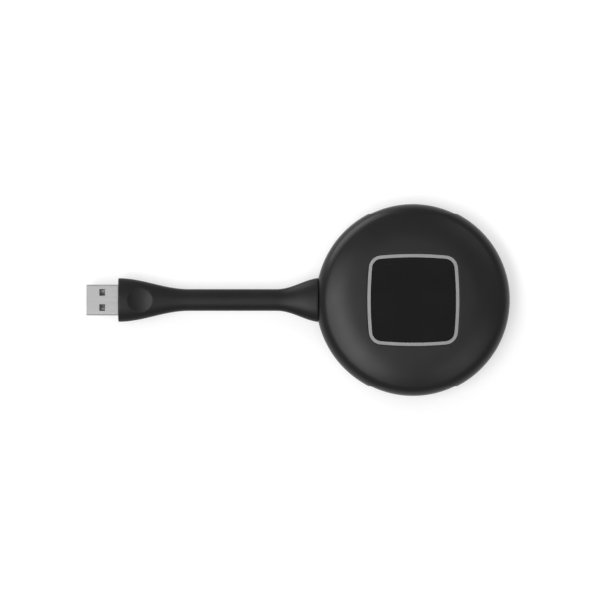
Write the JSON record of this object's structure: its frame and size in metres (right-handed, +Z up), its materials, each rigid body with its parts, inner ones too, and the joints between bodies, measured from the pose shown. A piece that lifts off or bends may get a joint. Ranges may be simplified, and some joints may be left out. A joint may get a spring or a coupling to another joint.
{
  "type": "wireless screen sharing dongle",
  "caption": "Round wireless screen sharing dongle: a square push button in a light ring, and a USB type A plug on a short flexible arm.",
  "frame": {"origin": "centre of the round puck, on the plane that its foot pad stands on", "axes": "+X from the plug along the arm and across the puck, +Z up out of the button"},
  "size_m": [0.1651, 0.075, 0.0164],
  "materials": {
    "case_plastic": "satin black moulded plastic, very fine texture",
    "button_plastic": "high gloss black plastic",
    "ring_plastic": "pale translucent light guide, unlit",
    "white_plastic": "plain white moulded plastic",
    "led_resin": "clear and yellow lamp resin",
    "foot_rubber": "dull black silicone rubber",
    "arm_rubber": "dull black flexible overmould",
    "cable_jacket": "black cable jacket",
    "wire_copper": "copper wire",
    "plug_steel": "nickel plated folded sheet, bright satin",
    "plug_plastic": "white moulded plastic",
    "contact_metal": "gold plated contact",
    "board_laminate": "green solder mask on laminate",
    "chip_resin": "black moulding compound",
    "ferrite": "dark grey ferrite",
    "capacitor_ceramic": "tan ceramic",
    "can_steel": "tinned steel sheet",
    "spring_steel": "spring steel",
    "screw_steel": "dark plated steel",
    "spreader_aluminium": "plain rolled aluminium",
    "thermal_silicone": "soft filled silicone"
  },
  "bodies": {
    "housing": {"top_cover": "case_plastic", "bottom_cover": "case_plastic", "foot_pad": "foot_rubber", "housing_screws": "screw_steel", "light_guide": "ring_plastic", "reflector_frame": "white_plastic", "status_leds": "led_resin", "switch_body": "white_plastic", "switch_dome": "spring_steel", "key_board": "board_laminate", "key_board_screws": "screw_steel", "main_board": "board_laminate", "board_screws": "screw_steel", "heat_spreader": "spreader_aluminium", "thermal_pad": "thermal_silicone", "processor": "chip_resin", "memory_chips": "chip_resin", "flash_chip": "chip_resin", "crystal": "can_steel", "radio_chip": "chip_resin", "shield_can": "can_steel", "power_inductors": "ferrite", "capacitors": "capacitor_ceramic", "board_socket": "white_plastic", "board_header": "white_plastic", "antenna_left": "can_steel", "antenna_right": "can_steel", "cable_header": "white_plastic", "cable_plug": "white_plastic", "strain_relief": "arm_rubber", "cable_clamp": "case_plastic", "clamp_screws": "screw_steel"},
    "button": {"button_lens": "button_plastic", "button_carrier": "case_plastic", "switch_plunger": "white_plastic"},
    "neck": {"flex_neck": "arm_rubber", "arm_cable": "cable_jacket", "arm_wires": "wire_copper"},
    "plug": {"plug_grip": "arm_rubber", "plug_core": "white_plastic", "plug_shell": "plug_steel", "plug_insulator": "plug_plastic", "plug_contacts": "contact_metal"}
  },
  "joints": [
    {"name": "button_press", "type": "slide", "parent": "housing", "child": "button", "axis": [0, 0, -1], "range_m": [0, 0.0004], "stiffness_N_per_m": 3500, "springref_m": -0.00015, "deforming": ["switch_dome"]},
    {"name": "arm_bend_root", "type": "hinge", "parent": "housing", "child": "neck", "pos_m": [-0.05836, 0, 0.00735], "axis": [0, 1, 0], "range_deg": [-45, 45], "stiffness_Nm_per_rad": 0.4, "deforming": ["flex_neck", "arm_cable", "arm_wires"]},
    {"name": "arm_bend_tip", "type": "hinge", "parent": "neck", "child": "plug", "pos_m": [-0.08209, 0, 0.00735], "axis": [0, 1, 0], "range_deg": [-45, 45], "stiffness_Nm_per_rad": 0.35, "deforming": ["flex_neck", "arm_cable", "arm_wires"]}
  ]
}
